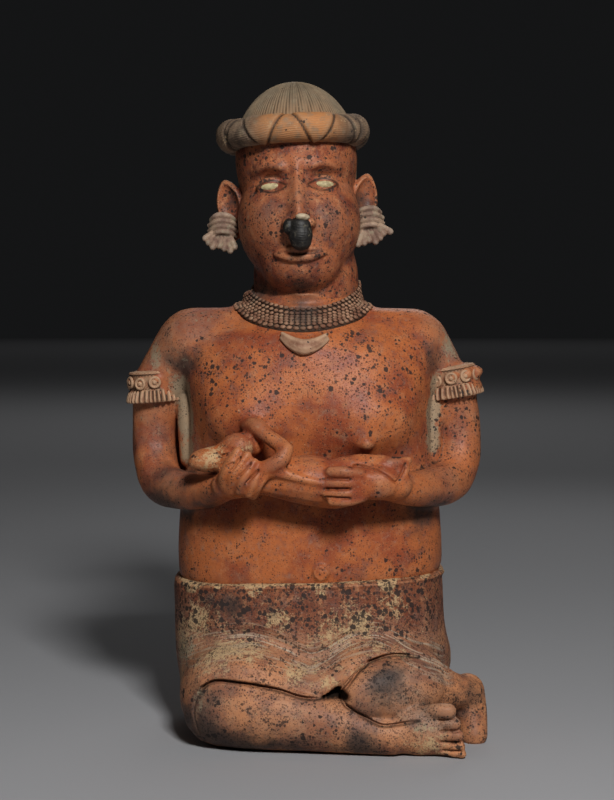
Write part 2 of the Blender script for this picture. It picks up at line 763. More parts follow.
def finish_face(piece):
    """Cuts the fine lines that the remesh would have closed."""
    tree = sight(piece)
    mouth = on_front(tree, [(-20, MOUTH_HEIGHT + 0.6), (-10, MOUTH_HEIGHT), (0, MOUTH_HEIGHT - 0.6),
                            (10, MOUTH_HEIGHT), (20, MOUTH_HEIGHT + 0.6)], origin=AT_ORIGIN)
    draw(piece, mouth, width=1.2, depth=2.4, fade=0.2)
    dark = [mouth]
    for side in (-1, 1):
        fold = [(side * (EYE_OUT - 12), 5), (side * (EYE_OUT - 5), 9.5), (side * (EYE_OUT + 5), 9.5),
                (side * (EYE_OUT + 13), 4)]
        draw(piece, on_front(tree, fold, origin=AT_ORIGIN), width=1.3, depth=1.4, fade=0.3)
        for lift in (5.6, -5.4):
            rim = [(side * EYE_OUT + across, lift * math.cos(across / EYE_HALF * 1.5))
                   for across in (-13, -8, 0, 8, 13)]
            dark.append(on_front(tree, rim, origin=AT_ORIGIN))
    darken_along(piece, dark, width=0.9)


head = work_together([*head_parts, *ear(-1), *ear(1)], HEAD_VOXEL, rounds=5)
head.name = "head"
finish_face(head)
set_on_neck(head)
thin_out(head, most=190000)
report(head)

# %% [markdown]
# Eyes: white slip was laid in the sockets, so each eye is an almond of another colour that shows
# between the lids.

# %% Eyes
def model_eye(place, name):
    x, middle = place
    eye = head_ball((x, middle, EYE_HEIGHT), (13.2, 10.9, 6.0), fine=48)
    eye.name = name
    bpy.ops.object.shade_smooth()
    return set_on_neck(eye)


eyes = [model_eye(place, name) for place, name in zip(eye_places, ("eye_her_right", "eye_her_left"))]
print(len(eyes), "eyes")

# %% [markdown]
# Hair: a close cap, combed straight down from the crown with a fine comb. A sphere with four
# meridians for each stroke of the comb takes the shape of the skull, and every fourth meridian
# is pushed in. In front it sinks into the head below the band, and at the nape it ends in an edge.

# %% Hair
STROKES = 118
HAIR_CENTRE = np.array([0, 8, 20])
SKULL_BALLS = [((0, 6, 29), (58.6, 65.6, 71.6)), ((0, 16, -8), (54.8, 61.8, 67.8))]  # middle, radii
HAIR_BLEND = 3  # how softly the two balls run into each other
COMB_DEPTH = 1.1
HAIR_SUNK = 9  # how far the cap goes in where it isn't shown


def reach_of_ball(directions, centre, radii):
    """How far a ball reaches from HAIR_CENTRE in each direction."""
    start = (HAIR_CENTRE - centre) / radii
    ways = directions / radii
    a = (ways**2).sum(1)
    b = (ways * start).sum(1)
    c = (start**2).sum() - 1
    return (-b + np.sqrt(b**2 - a * c)) / a


def combed_cap():
    bpy.ops.object.select_all(action="DESELECT")
    bpy.ops.mesh.primitive_uv_sphere_add(segments=STROKES * 4, ring_count=64, radius=MM)
    piece = bpy.context.object
    piece.name = "hair"
    ways, _ = skin_of(piece)
    ways = ways / np.linalg.norm(ways, axis=1, keepdims=True)
    first, second = (reach_of_ball(ways, np.array(centre), np.array(radii)) for centre, radii in SKULL_BALLS)
    reach = HAIR_BLEND * np.logaddexp(first / HAIR_BLEND, second / HAIR_BLEND)  # the larger, with no crease
    around = np.arctan2(ways[:, 0], -ways[:, 1])
    wobble = 0.75 + 0.25 * np.sin(around * 31 + 3 * np.sin(ways[:, 2] * 5))
    stroke = (0.5 - 0.5 * np.cos(around * STROKES)) ** 1.4
    combed = stroke * wobble * rise(1 - np.abs(ways[:, 2]), 0.004, 0.05)
    reach -= COMB_DEPTH * combed
    places = HAIR_CENTRE + ways * reach[:, None]
    x, y, z = places.T
    keep(piece, "combed", combed)
    keep(piece, "warm", np.exp(-(((z - 60) / 16) ** 2)) * rise(np.cos(around), 0.55, 0.95))
    shown = np.maximum(rise(z, 36, 42), rise(y - 0.12 * np.abs(x), 9, 14)) * rise(z, -72, -67)
    reshape(piece, HAIR_CENTRE + ways * (reach - HAIR_SUNK * (1 - shown))[:, None])
    bpy.ops.object.shade_smooth()
    return piece


hair = set_on_neck(combed_cap())
report(hair)

# %% [markdown]
# Headband: a thick roll of cloth, cut by a zigzag line into fields that are scored along the roll.
# The fields above the line stand a little higher. A torus is given its oval section here, and each
# point's height comes from how far it lies from the zigzag.

# %% Headband
BAND_MIDDLE = np.array([-2, 2, 51])
BAND_RADII = (57.5, 62.5)
BAND_SECTION = (12.6, 12.6)
ZIGZAGS = 8
WRAPPED = math.radians(118)  # how far up and down the section the fields reach
CUT_WIDTH = 0.12
SCORED_LINES = 13
KNOT_TURNS = (62, 79)  # degrees from the front, where the lobes begin and end
FIELD_STEP, SCORED_DEPTH, CUT_DEPTH, LOBE_SWELL, KNOT_DEPTH = 1.0, 0.26, 1.5, 1.8, 1.4
# Most points of the section lie outside: this share of them is spread at the slower pace.
OUTER_SHARE, OUTER_PACE, INNER_START, INNER_PACE = 0.78, 0.85, 0.663, 1.532


def zigzag(around):
    """1 at the upper turns of the line and -1 at the lower ones."""
    share = (around * ZIGZAGS / (2 * math.pi) + 0.075) % 1
    return 4 * np.abs(share - 0.5) - 1


def upper_fields(around, up):
    """1 in the fields above the zigzag, which are wide at the top, and 0 in those below it."""
    return rise(up - zigzag(around), -CUT_WIDTH, CUT_WIDTH)


def band_relief(around, up):
    cut = np.exp(-(((up - zigzag(around)) / CUT_WIDTH) ** 2))
    lean = np.where(upper_fields(around, up) > 0.5, 2.5, -2.5) * np.sin(around * ZIGZAGS)
    scored = np.sin(up * 2 * math.pi * SCORED_LINES + lean + 0.9 * np.sin(around * 23 + up * 4))
    lobes = np.exp(-(((np.abs(np.sin(around)) - 0.97) / 0.06) ** 2)) * (np.cos(around) > -0.4)
    knot_lines = sum(np.exp(-(((np.abs(around) - math.radians(turn)) / 0.02) ** 2)) for turn in KNOT_TURNS)
    relief = FIELD_STEP * upper_fields(around, up) + SCORED_DEPTH * scored * (1 - cut)
    relief = relief - CUT_DEPTH * cut + LOBE_SWELL * lobes - KNOT_DEPTH * knot_lines
    shown = 1 - rise(np.abs(up), 0.92, 1.05)
    return relief * shown, np.clip(cut + knot_lines, 0, 1) * shown


def wrapped_band():
    across, along = ((112, 780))
    bpy.ops.object.select_all(action="DESELECT")
    bpy.ops.mesh.primitive_torus_add(
        major_segments=along, minor_segments=across, major_radius=2 * MM, minor_radius=MM)
    piece = bpy.context.object
    piece.name = "headband"
    places, _ = skin_of(piece)
    around = np.arctan2(places[:, 0], -places[:, 1])
    section = np.arctan2(places[:, 2], np.hypot(places[:, 0], places[:, 1]) - 2) / math.pi
    far = np.abs(section)
    section = np.sign(section) * np.where(
        far < OUTER_SHARE, far * OUTER_PACE, INNER_START + (far - OUTER_SHARE) * INNER_PACE) * math.pi
    relief, cuts = band_relief(around, section / WRAPPED)
    keep(piece, "combed", 0.85 * cuts)
    front = rise(np.cos(around - 0.12), 0.70, 0.97)
    keep(piece, "warm", front * (0.8 + 0.2 * upper_fields(around, section / WRAPPED)))
    out = (BAND_SECTION[0] + relief) * np.cos(section)
    height = (BAND_SECTION[1] + relief) * np.sin(section)
    places = BAND_MIDDLE + np.stack([(BAND_RADII[0] + out) * np.sin(around),
                                     -(BAND_RADII[1] + out) * np.cos(around), height], axis=1)
    reshape(piece, places)
    bpy.ops.object.shade_smooth()
    return piece


band = set_on_neck(wrapped_band())
report(band)

# %% [markdown]
# Collar: seven strands of small beads lie close together on the neck, lower in front. One bead is
# modelled and copied, and each copy is set on the skin, which is found by looking inward.

# %% Collar
STRANDS = 7
BEAD_PITCH = 5.0
BEAD_SHAPE = (2.45, 1.9, 1.5)  # radii along the strand, across it and outwards
LOWEST_SIZE = 1.2  # the lowest strand has larger beads
NECK_MIDDLE = (-6.5, 4)
LOOKS = 240  # places round the neck at which the skin is looked for
HEIGHT_BEHIND = (415, 399)  # of the highest strand and of the lowest
HEIGHT_IN_FRONT = (385, 351.5)
STRAND_OUT = (49, 50)
CORD_RADIUS = 2.9
CORD_SUNK = -1.4


def blended(a, b, share):
    return a + (b - a) * share


def strand_line(strand, trees):
    """The places of one strand on the skin, all round the neck."""
    down = strand / (STRANDS - 1)
    line = []
    for turn in np.linspace(0, 2 * math.pi, LOOKS, endpoint=False):
        front = ((1 + math.cos(turn)) / 2) ** 1.8
        height = blended(blended(*HEIGHT_BEHIND, down), blended(*HEIGHT_IN_FRONT, down), front)
        out = blended(*STRAND_OUT, down)
        away = Vector((math.sin(turn), -math.cos(turn), 0.9)).normalized()
        aim = spot(NECK_MIDDLE[0] + out * math.sin(turn), NECK_MIDDLE[1] - out * math.cos(turn), height)
        start = aim + away * 50 * MM
        hits = [tree.ray_cast(start, -away) for tree in trees]
        near = min((hit for hit in hits if hit[0]), key=lambda hit: hit[3], default=None)
        line.append(np.append(np.array(near[0] if near else aim) / MM, np.array(away)))
    return np.array(line)


def soften_loop(line, rounds=12):
    for _ in range(rounds):
        line = (np.roll(line, 1, axis=0) + 2 * line + np.roll(line, -1, axis=0)) / 4
    return line


def even_places(line, pitch):
    """Places a pitch apart along a closed line."""
    closed = np.vstack([line, line[:1]])
    steps = np.linalg.norm(np.diff(closed[:, :3], axis=0), axis=1)
    reach = np.concatenate([[0], np.cumsum(steps)])
    count = round(reach[-1] / pitch)
    wanted = np.arange(count) * reach[-1] / count
    return np.stack([np.interp(wanted, reach, column) for column in closed.T], axis=1)


def copies(model, places):
    """One mesh with a copy of the model at each place, its Z turned to the way out."""
    one, faces = skin_of(model)[0], [list(face.vertices) for face in model.data.polygons]
    points = []
    for x, y, z, *away, turn in places:
        frame_here = Vector(away).to_track_quat("Z", "Y").to_matrix() @ Matrix.Rotation(turn, 3, "Z")
        points.append(one @ np.array(frame_here).T + (x, y, z))
    count = len(one)
    corners = [[index + count * copy for index in face] for copy in range(len(places)) for face in faces]
    mesh = bpy.data.meshes.new(model.name)
    mesh.from_pydata((np.vstack(points) * MM).tolist(), [], corners)
    piece = bpy.data.objects.new(model.name, mesh)
    keep(piece, "proud", np.tile((one[:, 2] - one[:, 2].min()) / np.ptp(one[:, 2]), len(places)))
    bpy.context.scene.collection.objects.link(piece)
    bpy.data.objects.remove(model)
    return piece


def one_bead(size):
    bpy.ops.object.select_all(action="DESELECT")
    bpy.ops.mesh.primitive_ico_sphere_add(subdivisions=2, radius=size * MM, scale=BEAD_SHAPE)
    bead = bpy.context.object
    bpy.ops.object.transform_apply(location=False, rotation=False, scale=True)
    bead.name = "bead"
    return bead


def model_collar():
    trees = [sight(torso), sight(head)]
    parts = []
    for strand in range(STRANDS):
        size = LOWEST_SIZE if strand == STRANDS - 1 else 1
        line = soften_loop(strand_line(strand, trees))
        knots = [(*(point[:3] + point[3:6] * CORD_SUNK), CORD_RADIUS * size) for point in line[::3]]
        parts.append(roll(knots, AT_ORIGIN, sides=3, closed=True, steps=1))
        places = []
        for index, point in enumerate(even_places(line, BEAD_PITCH * size)):
            lift = size * (1.75 + 0.25 * math.sin(index * 2.4 + strand))
            places.append([*(point[:3] + point[3:6] * lift), *point[3:6], 0.25 * math.sin(index * 1.7)])
        parts.append(copies(one_bead(size), places))
        print("strand", strand + 1, "has", len(places), "beads")
    only(*parts)
    bpy.ops.object.join()
    piece = bpy.context.object
    piece.name = "collar"
    bpy.ops.object.shade_smooth()
    return piece


collar = model_collar()
report(collar)

# %% [markdown]
# Pendant: a crescent plate hangs from the lowest strand. Two rolls are worked together to a flat
# crescent, which stands a few millimetres proud of the chest, and its rim is drawn with a stick.

# %% Pendant
CRESCENT = [(-25, 361.5, 2.6), (-16, 355.5, 4.4), (-6, 352, 5.6), (5, 354.5, 4.4), (15, 360.5, 2.6)]


def model_pendant():
    laid = on_front(sight(torso), [knot[:2] for knot in CRESCENT], steps=1)
    rolls = [roll([(x, y - 0.8, z + lift, knot[2] - 0.2 * lift) for (x, y, z), knot in zip(laid, CRESCENT)],
                  AT_ORIGIN, sides=10) for lift in (0, 4.5)]
    plate = work_together(rolls, voxel=0.9)
    plate.name = "pendant"
    rim = smooth_line([(x, y - 5, z, 1) for x, y, z in laid], 8)[:, :3]
    draw(plate, rim + (0, 0, -1.0), width=1.1, depth=0.7, way=(0, 1, 0))
    bpy.ops.object.shade_smooth()
    return plate


pendant = model_pendant()
report(pendant)

# %% [markdown]
# Armbands: a cloth band with a row of round bosses above a short flared fringe. The band's section
# is drawn once and spun round the arm, then pressed to the arm's oval. One boss is modelled as a
# disc that carries a ring and a pellet, and copied.

# %% Armbands
BAND_OVAL = (22.8, 27.5)
BOSSES = 11
BOSS_OUT, BOSS_HEIGHT = 2.4, 3.4
FRINGE_ENDS = 38
FRINGE_DEPTH = 1.3
SECTION = [(-7, 12), (-0.8, 13.6), (1.2, 12.8), (1.9, 11.4), (1.1, 10), (1.1, 4), (1.2, -2), (1.9, -3.6),
           (3.6, -8), (5.0, -12.6), (4.6, -14.6), (2.6, -14.9), (-7, -12)]
SPUN_RADIUS = 20  # from the axis to the section's zero


def spun(section, segments, name):
    """A closed section [out, z] in mm, spun round the Z axis."""
    bpy.ops.object.select_all(action="DESELECT")
    bpy.ops.curve.primitive_bezier_curve_add()
    curve = bpy.context.object.data
    curve.splines.clear()
    outline = curve.splines.new("POLY")
    outline.use_cyclic_u = True
    line = smooth_line([(out, height) for out, height in section], 4, closed=True)
    outline.points.add(len(line) - 1)
    for point, (out, height) in zip(outline.points, line):
        point.co = ((SPUN_RADIUS + out) * MM, 0, height * MM, 1)
    bpy.context.object.matrix_world = Matrix.Identity(4)
    bpy.ops.object.convert(target="MESH")
    piece = bpy.context.object
    piece.name = name
    edit(piece, lambda: bpy.ops.mesh.spin(
             steps=segments, angle=2 * math.pi, center=(0, 0, 0), axis=(0, 0, 1)),
         lambda: bpy.ops.mesh.remove_doubles(threshold=0.00001),
         lambda: bpy.ops.mesh.normals_make_consistent(inside=False))
    return piece


def one_boss():
    bpy.ops.object.select_all(action="DESELECT")
    bpy.ops.mesh.primitive_torus_add(
        major_segments=28, minor_segments=10, major_radius=4.5 * MM, minor_radius=1.45 * MM)
    ring = bpy.context.object
    disc = head_ball((0, 0, -0.8), (5.2, 5.2, 1.6), fine=24)
    pellet = head_ball((0, 0, 0.6), (2.3, 2.3, 1.6), fine=16)
    only(ring, disc, pellet)
    bpy.ops.object.transform_apply(location=True, rotation=True, scale=True)
    bpy.ops.object.join()
    bpy.context.object.name = "boss"
    return bpy.context.object


def model_armband(name, place, lean, first):
    band = spun(SECTION, 240, name)
    places, _ = skin_of(band)
    around = np.arctan2(places[:, 0], -places[:, 1])
    out = np.hypot(places[:, 0], places[:, 1]) - SPUN_RADIUS
    fringe = rise(-places[:, 2], 3, 6) * (out > 0)
    ends = np.sin(around * FRINGE_ENDS + 1.2 * np.sin(around * 7))
    out = out + fringe * FRINGE_DEPTH * ends * (1 + 0.4 * np.sin(around * 5))
    out = out + (1 - fringe) * (out > 0) * 0.25 * np.sin(around * 47) * np.sin(places[:, 2] * 2.2)
    reshape(band, np.stack([(BAND_OVAL[0] + out) * np.sin(around), -(BAND_OVAL[1] + out) * np.cos(around),
                            places[:, 2]], axis=1))
    rows = []
    for boss in range(BOSSES):
        turn = math.radians(first + boss * 360 / BOSSES)
        way = np.array([math.sin(turn), -math.cos(turn), 0])
        on_band = way[:2] * (np.array(BAND_OVAL) + BOSS_OUT)
        rows.append([*on_band, BOSS_HEIGHT + 0.7 * math.sin(3 * boss), *way, 0])
    bosses = copies(one_boss(), rows)
    only(band, bosses)
    bpy.ops.object.join()
    band.location = spot(*place)
    band.rotation_euler = (0, math.radians(lean), 0)
    bpy.ops.object.transform_apply(location=True, rotation=True, scale=True)
    bpy.ops.object.shade_smooth()
    return band


armbands = [model_armband("armband_her_right", (-144.5, 0, 317), -4, 4),
            model_armband("armband_her_left", (132, 0, 321), -9, -4)]
for armband in armbands:
    report(armband)

# %% [markdown]
# Ear ornaments: a knot of four cords lies over the lobe, with a fan of seven drops below it.

# %% Ear ornaments
CORDS = 4
DROPS = 7


def model_ear_ornament(side, name):
    middle = side * 68 - 3
    lumps = [head_ball((middle, -4, -30), (11.5, 7.5, 9.5), (0, side * 8, 0), fine=64)]
    for cord in range(CORDS):
        height = -21.5 - cord * 5.0
        wide = 11 if cord in (0, CORDS - 1) else 13
        lumps.append(head_roll([
            (middle - side * wide, -4, height - 4, 2.0), (middle - side * 5, -10.5, height, 2.8),
            (middle + side * 5, -10.8, height + 0.5, 2.8), (middle + side * wide, -4, height - 3, 2.0)]))
    for drop in range(DROPS):
        turn = math.radians(-22 + 78 * drop / (DROPS - 1))
        way = np.array([side * math.sin(turn), -0.1, -math.cos(turn)])
        root = np.array([middle + side * (1.7 * drop - 5), -8, -38 + 0.7 * drop])
        reach = 15 + 1.8 * math.sin(2.1 * drop + side)
        tip = root + way * reach
        lumps.append(head_roll([(*root, 2.5), (*(root + way * reach / 2), 3.0), (*tip, 3.3)]))
    piece = work_together(lumps, voxel=0.7, rounds=1)
    piece.name = name
    bpy.ops.object.shade_smooth()
    return set_on_neck(piece)


ear_ornaments = [model_ear_ornament(-1, "ear_ornament_her_right"),
                 model_ear_ornament(1, "ear_ornament_her_left")]
for ornament in ear_ornaments:
    report(ornament)

# %% [markdown]
# Nose ornament: a dark knob hangs over the tip of the nose. Its top is chipped, and the pale clay
# shows there.

# %% Nose ornament
def nose_tip():
    before = Vector((0, -200, NOSE_BASE + 5)) * MM
    start = spot(*HEAD_PLACE) + Matrix.Rotation(HEAD_LEAN, 3, "Y") @ before
    hit = sight(head).ray_cast(start, Vector((0, 1, 0)))[0]
    return (hit - spot(*HEAD_PLACE))[1] / MM


def model_nose_ornament():
    y = nose_tip() + 5
    body = [head_roll([(1, y, -39, 9.8), (1, y - 0.5, -46, 10.8), (1, y + 0.5, -50, 10)], sides=10),
            head_ball((-9, y + 2, -38), (5.5, 7, 7.5))]
    piece = work_together(body, voxel=0.8)
    piece.name = "nose_ornament"
    tree = sight(piece)
    for stroke in range(7):
        high = -34 - 2.2 * stroke
        sweep = [(-9, high), (-4, high - 3.2), (2, high - 4.6), (7, high - 4.2)]
        draw(piece, on_front(tree, sweep, origin=AT_ORIGIN), width=0.7, depth=0.5)
    bpy.ops.object.shade_smooth()
    chip = head_ball((3.5, y - 5.5, -30.5), (6.4, 4.5, 3.0), (-20, 6, 0))
    chip.name = "nose_chip"
    bpy.ops.object.shade_smooth()
    return set_on_neck(piece), set_on_neck(chip)


nose_ornament, nose_chip = model_nose_ornament()
report(nose_ornament)

# %% [markdown]
# Finish. The figure was dipped in red slip and polished. In the ground the slip wore thin, black
# manganese spots grew in clusters, and lime and dust settled in the hollows. Each of these is a
# node group with its own inputs, so that every material can have its share. Where a mark lies is
# worked out here for each point of the mesh and kept in named attributes.

# %% Hollows and zones
def hollows(piece, rounds=36):
    """How far each point lies below its smoothed surroundings, in mm. It is negative on edges."""
    places, normals = skin_of(piece)
    ends = np.empty(len(piece.data.edges) * 2, np.int32)
    piece.data.edges.foreach_get("vertices", ends)
    first, second = ends.reshape(-1, 2).T
    count = np.bincount(ends, minlength=len(places))
    level = places.astype(float)
    for _ in range(rounds):
        around = [np.bincount(first, level[second, axis], len(places))
                  + np.bincount(second, level[first, axis], len(places)) for axis in range(3)]
        level = (level + np.stack(around, axis=1) / count[:, None]) / 2
    return ((level - places) * normals).sum(1)


def zone(places, marks, everywhere):
    """A soft share from 0 to 1, highest at the marks [x, y, z, reach, strength] on her body."""
    total = np.full(len(places), everywhere, float)
    for x, y, z, reach, strength in marks:
        away = np.linalg.norm(places - (np.array([x, y, z]) + BODY_ORIGIN), axis=1)
        total += strength * np.exp(-((away / reach) ** 2))
    return np.clip(total, 0, 1)


SPOTTED = [(-84, -60, 322, 26, 0.9), (-50, -75, 344, 12, 0.8), (-48, -78, 320, 26, 0.4),
           (62, -78, 322, 34, 0.7), (82, -60, 316, 12, 0.9), (44, -75, 350, 16, 0.6),
           (20, -70, 362, 18, 0.6), (138, -8, 282, 34, 0.8), (76, -80, 151, 12, 1.0),
           (100, -68, 158, 22, 0.5), (112, -50, 240, 30, 0.4), (-20, -85, 322, 24, 0.4),
           (-104, -40, 150, 20, 0.5), (100, -60, 335, 16, 0.7)]
SMOKED = [(-6, -62, 390, 24, 0.85), (-48, -22, 402, 18, 0.6), (36, -30, 402, 14, 0.4),
          (-76, -2, 488, 15, 0.75), (52, -2, 486, 15, 0.75), (-101, -35, 338, 16, 1.0),
          (-118, -25, 344, 14, 0.9), (-122, -42, 214, 30, 0.8), (-92, -90, 214, 18, 0.6),
          (104, -60, 208, 26, 0.7), (-144, -4, 262, 30, 0.35), (-98, -108, 22, 22, 0.95),
          (-70, -124, 8, 20, 0.85), (-86, -118, 46, 14, 0.55), (-36, -138, 2, 22, 0.65),
          (-4, -142, -2, 20, 0.6), (62, -136, 62, 16, 0.75), (76, -136, 73, 12, 0.5),
          (42, -140, 20, 12, 0.4), (45, -146, 0, 20, 0.7), (104, -30, 342, 16, 0.7),
          (-70, -88, 122, 14, 0.55), (-94, -80, 126, 12, 0.5), (-36, -90, 118, 12, 0.45),
          (-4, -90, 126, 12, 0.4), (60, -130, 44, 14, 0.5), (40, -134, 48, 12, 0.4),
          (92, -128, 36, 16, 0.6), (140, -84, 46, 30, 0.4), (0, 80, 300, 60, 0.5),
          (60, 70, 60, 50, 0.5)]
CRUSTED = [(-98, -70, 110, 16, 0.6), (-27, -90, 112, 14, 0.55), (44, -90, 110, 16, 0.55),
           (75, -84, 126, 14, 0.5), (-71, -96, 86, 22, 0.35), (-110, -50, 90, 18, 0.6),
           (17, -124, 60, 9, 0.6), (-14, -118, 68, 11, 0.55), (-84, -104, 74, 18, 0.6),
           (84, -100, 82, 10, 0.5), (44, -116, 70, 10, 0.3), (2, -110, 66, 12, 0.3),
           (-50, -108, 84, 16, 0.4), (60, -110, 92, 16, 0.4), (100, -144, 14, 16, 0.5),
           (20, -96, 96, 22, 0.4), (-87, -110, 258, 14, 0.85), (-56, -118, 264, 12, 0.6),
           (128, 0, 60, 30, 0.3)]
DUSTY = [(-113, -20, 338, 11, 1.3), (-114, -26, 312, 13, 1.4), (-114, -28, 285, 13, 1.4),
         (-112, -32, 256, 12, 1.3), (111, -22, 322, 11, 1.2), (111, -26, 296, 12, 1.3),
         (110, -28, 268, 12, 1.3), (-136, -12, 345, 20, 0.7), (126, -10, 350, 18, 0.6),
         (-118, -60, 76, 24, 0.7), (-112, -70, 40, 20, 0.6), (100, -146, 34, 18, 0.4),
         (-90, -124, 40, 20, 0.35)]
ASHY = [(-11, -82, 500, 16, 0.55), (-8, -88, 436, 22, 0.45), (-38, -66, 470, 18, 0.4),
        (18, -66, 470, 18, 0.4), (76, -142, 58, 26, 0.9), (106, -146, 34, 20, 1.0),
        (122, -146, 42, 10, 0.9), (-84, -124, 40, 26, 0.5), (-20, -144, 30, 30, 0.45),
        (40, -146, 30, 26, 0.4), (-84, -104, 84, 26, 0.4), (10, -112, 70, 30, 0.4),
        (-128, -14, 352, 28, 0.85), (124, -10, 354, 26, 0.85), (-96, -30, 372, 26, 0.5),
        (-146, -10, 290, 34, 0.4), (146, -10, 290, 34, 0.4), (-120, -60, 232, 34, 0.45),
        (120, -60, 232, 34, 0.35), (-114, -50, 100, 24, 0.5), (110, -60, 100, 24, 0.4)]
MARKS = {"spotted": SPOTTED, "smoked": SMOKED, "crusted": CRUSTED, "dusty": DUSTY, "ashen": ASHY}
DEEPEST = 3  # mm, where the hollows stop counting


def mark_zones(piece, **everywhere):
    """Keeps the hollows and every kind of mark, some of them with a share all over the piece."""
    places, _ = skin_of(piece)
    keep(piece, "hollow", np.clip(hollows(piece), -DEEPEST, DEEPEST) / DEEPEST)
    for name, marks in MARKS.items():
        keep(piece, name, zone(places, marks, everywhere.get(name, 0.0)))
    return places


# %% [markdown]
# A few short helpers place nodes and wire them, so that each recipe below reads from the surface's
# coordinates to its colour. Each helper gives back the sockets that the next one starts from.

# %% Placing nodes
def wire(tree, made, inputs):
    """Links each input to a socket or gives it a value."""
    for key, value in inputs.items():
        if isinstance(value, bpy.types.NodeSocket):
            tree.links.new(value, made.inputs[key])
        else:
            made.inputs[key].default_value = value
    return made.outputs


def node(tree, kind, inputs, **settings):
    made = tree.nodes.new("ShaderNode" + kind)
    for name, value in settings.items():
        setattr(made, name, value)
    return wire(tree, made, inputs)


def reckon(tree, operation, a, b, clamp=False):
    return node(tree, "Math", {0: a, 1: b}, operation=operation, use_clamp=clamp)[0]


def times(tree, a, b):
    return reckon(tree, "MULTIPLY", a, b)


def plus(tree, a, b):
    return reckon(tree, "ADD", a, b)


def minus(tree, a, b):
    return reckon(tree, "SUBTRACT", a, b)


def larger(tree, a, b):
    return reckon(tree, "MAXIMUM", a, b)


def ramp(tree, value, low, high):
    """0 below low, 1 above high, and smooth between."""
    return node(tree, "MapRange", {"Value": value, "From Min": low, "From Max": high},
                interpolation_type="SMOOTHSTEP")["Result"]


def noise(tree, place, scale, detail, roughness=0.5, distortion=0.0):
    return node(tree, "TexNoise", {"Vector": place, "Scale": scale, "Detail": detail, "Roughness": roughness,
                                   "Distortion": distortion})


def tint(tree, share, below, above):
    """Mixes two colours, each a socket or three numbers."""
    below, above = (colour if isinstance(colour, bpy.types.NodeSocket) else (*colour, 1)
                    for colour in (below, above))
    return node(tree, "Mix", {0: share, 6: below, 7: above}, data_type="RGBA")[2]


def coat(tree, colour, mask, amount, over):
    """Lays another colour over the colour where the mask is, at most by the amount."""
    return tint(tree, times(tree, mask, amount), colour, over)


def kept(tree, name):
    return node(tree, "Attribute", {}, attribute_name=name)["Fac"]


def recipe(name, output, inputs):
    """An empty node group that gives one number. Each input has a default number or place."""
    group = bpy.data.node_groups.new(name, "ShaderNodeTree")
    for label, default in inputs.items():
        kind = "NodeSocketFloat" if isinstance(default, float) else "NodeSocketVector"
        group.interface.new_socket(label, in_out="INPUT", socket_type=kind).default_value = default
    group.interface.new_socket(output, in_out="OUTPUT", socket_type="NodeSocketFloat")
    start = group.nodes.new("NodeGroupInput")
    end = group.nodes.new("NodeGroupOutput")
    return group, start.outputs, end.inputs


def use(tree, group, inputs):
    made = tree.nodes.new("ShaderNodeGroup")
    made.node_tree = group
    return wire(tree, made, inputs)[0]


# %% [markdown]
# Patches: soft areas where the slip is thicker, thinner or fired to another tone. Their edges are
# ragged at a smaller scale, as slip that was wiped on.

# %% Recipe for patches
def patches_recipe():
    group, given, result = recipe(
        "patches", "Mask", {"Place": (0.0, 0.0, 0.0), "Scale": 20.0, "Low": 0.45, "High": 0.6,
                            "Ragged": 0.55})
    cloud = noise(group, given["Place"], given["Scale"], 6.0, given["Ragged"])["Fac"]
    group.links.new(ramp(group, cloud, given["Low"], given["High"]), result[0])
    return group


patches = patches_recipe()


def patch(tree, place, scale, low, high, ragged=0.55):
    return use(tree, patches, {"Place": place, "Scale": scale, "Low": low, "High": high, "Ragged": ragged})


print("recipe", patches.name)

# %% [markdown]
# Round spots: manganese grows from points, so each spot is round with a slightly uneven rim, they
# are of all sizes, and they crowd together in clusters. A Voronoi texture gives the points and a
# random number for each, a slow noise gathers them, and a quicker one presses some into clumps.

# %% Recipe for spots
def spots_recipe():
    group, given, result = recipe(
        "spots", "Mask", {"Place": (0.0, 0.0, 0.0), "Scale": 150.0, "Size": 0.4, "Gather": 0.5,
                          "Cluster Scale": 28.0, "Clumps": 0.5})
    shake = noise(group, given["Place"], times(group, given["Scale"], 2.6), 2.0)["Color"]
    nudge = node(group, "VectorMath", {0: shake, 1: (0.5, 0.5, 0.5)}, operation="SUBTRACT")[0]
    reach = reckon(group, "DIVIDE", 0.42, given["Scale"])
    shaken = node(group, "VectorMath", {0: nudge, "Scale": reach}, operation="SCALE")[0]
    place = node(group, "VectorMath", {0: given["Place"], 1: shaken}, operation="ADD")[0]
    cells = node(group, "TexVoronoi", {"Vector": place, "Scale": given["Scale"]}, voronoi_dimensions="3D")
    chance = node(group, "SeparateColor", {"Color": cells["Color"]})[0]
    slow = noise(group, given["Place"], given["Cluster Scale"], 3.0)["Fac"]
    crowd = ramp(group, plus(group, slow, times(group, given["Gather"], 0.45)), 0.62, 0.86)
    quick = noise(group, given["Place"], times(group, given["Cluster Scale"], 3.4), 2.0)["Fac"]
    apart = minus(group, 1.0, ramp(group, quick, 0.44, 0.58))
    crowd = times(group, crowd, minus(group, 1.0, times(group, apart, given["Clumps"])))
    size = times(group, reckon(group, "POWER", chance, 1.2), given["Size"])
    limit = times(group, plus(group, size, 0.06), crowd)
    inside = minus(group, limit, cells["Distance"])
    group.links.new(ramp(group, inside, -0.05, 0.05), result[0])
    return group


spots = spots_recipe()


def dots(tree, place, scale, size, gather, cluster, clumps=0.5):
    return use(tree, spots, {"Place": place, "Scale": scale, "Size": size, "Gather": gather,
                             "Cluster Scale": cluster, "Clumps": clumps})


print("recipe", spots.name)

# %% [markdown]
# Crust and dust: lime that dried on the surface in ragged flakes, and earth that stayed in the
# hollows. The share comes from the piece, and fine noise breaks its edge.

